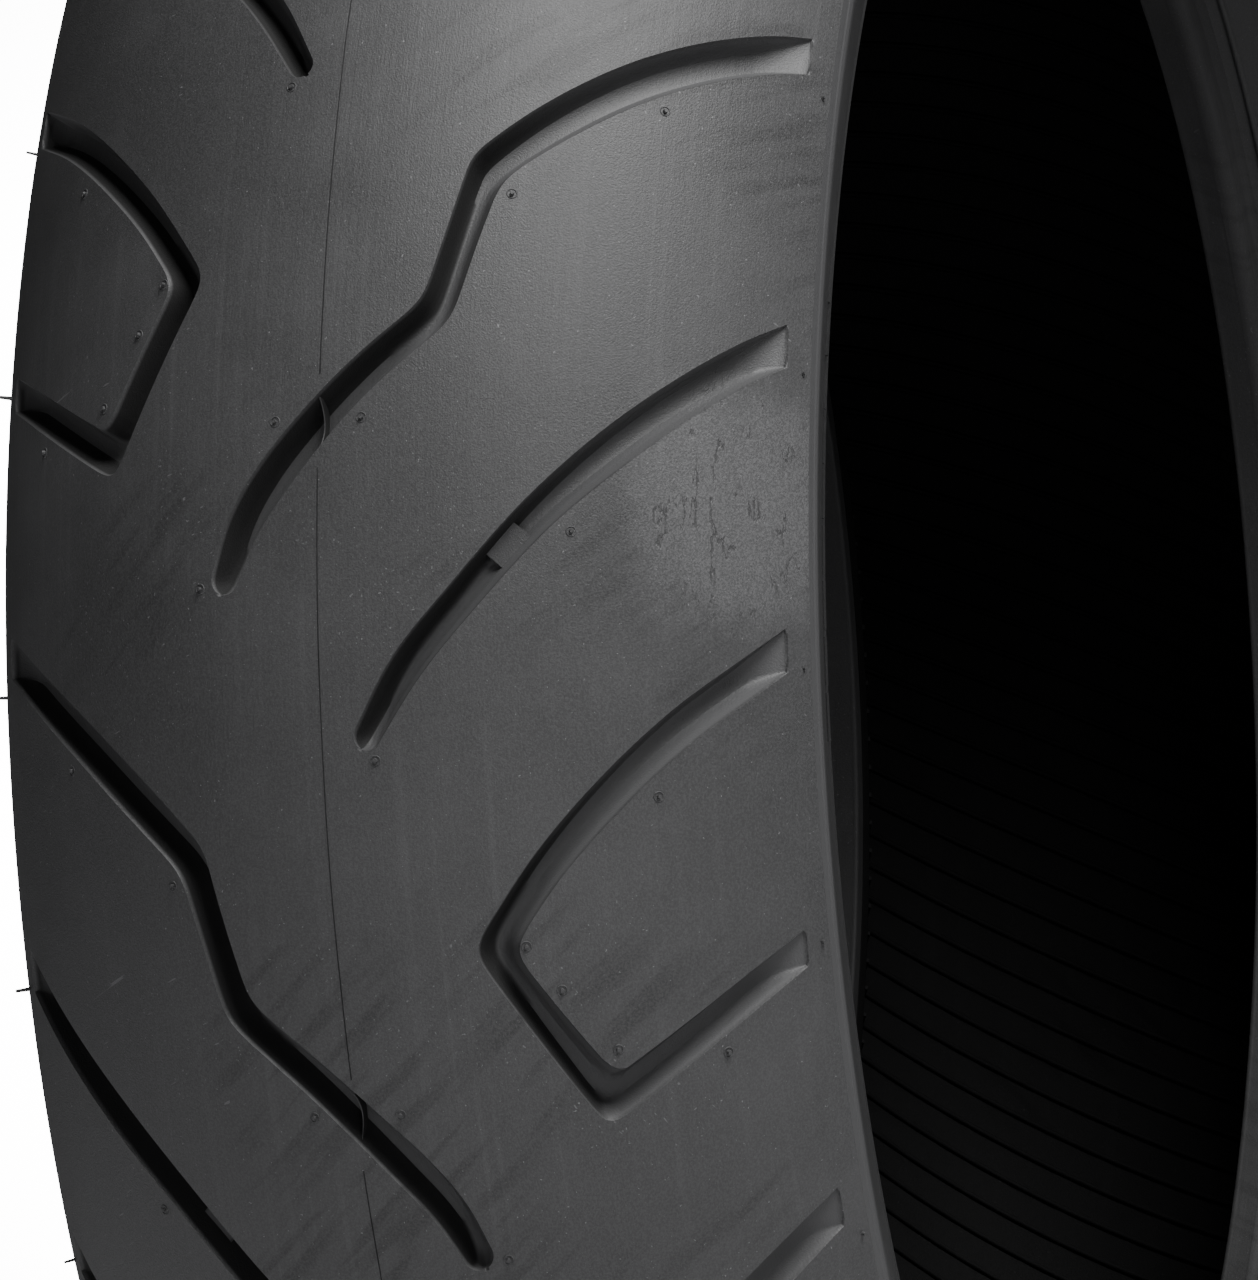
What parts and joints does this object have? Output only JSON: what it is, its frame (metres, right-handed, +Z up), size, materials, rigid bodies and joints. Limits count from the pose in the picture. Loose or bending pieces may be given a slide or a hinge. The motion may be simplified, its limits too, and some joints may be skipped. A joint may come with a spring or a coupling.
{
  "type": "motorcycle tire",
  "caption": "Wide radial rear tire for a motorcycle: rounded crown with curved grooves, layered belts and plies, two wire beads.",
  "frame": {"origin": "centre of the wheel, midway between the beads", "axes": "+Y along the wheel axis towards the right bead, +Z up with the tire standing on its tread, X along the ground"},
  "size_m": [0.636, 0.1766, 0.636],
  "materials": {
    "tread_rubber": "satin black tread rubber",
    "side_rubber": "smooth matte black rubber",
    "liner_rubber": "matte black, marked by the curing bladder",
    "inner_rubber": "matte dark grey rubber",
    "belt_ribbon": "rubbered steel cord ribbon",
    "ply_cord": "rubbered textile cord",
    "bead_steel": "bronze-coated steel wire"
  },
  "bodies": {
    "root": {"tread_cap": "tread_rubber", "tread_base": "inner_rubber", "zero_degree_belt": "belt_ribbon", "breaker_outer": "ply_cord", "breaker_inner": "ply_cord", "carcass_ply_outer": "ply_cord", "carcass_ply_inner": "ply_cord", "inner_liner": "liner_rubber", "belt_edge_cushion_left": "inner_rubber", "belt_edge_cushion_right": "inner_rubber", "sidewall_left": "side_rubber", "sidewall_right": "side_rubber", "chafer_left": "side_rubber", "chafer_right": "side_rubber", "bead_filler_left": "inner_rubber", "bead_filler_right": "inner_rubber", "bead_wrap_left": "ply_cord", "bead_wrap_right": "ply_cord", "bead_insulation_left": "inner_rubber", "bead_insulation_right": "inner_rubber", "bead_wires_left": "bead_steel", "bead_wires_right": "bead_steel"}
  },
  "joints": []
}
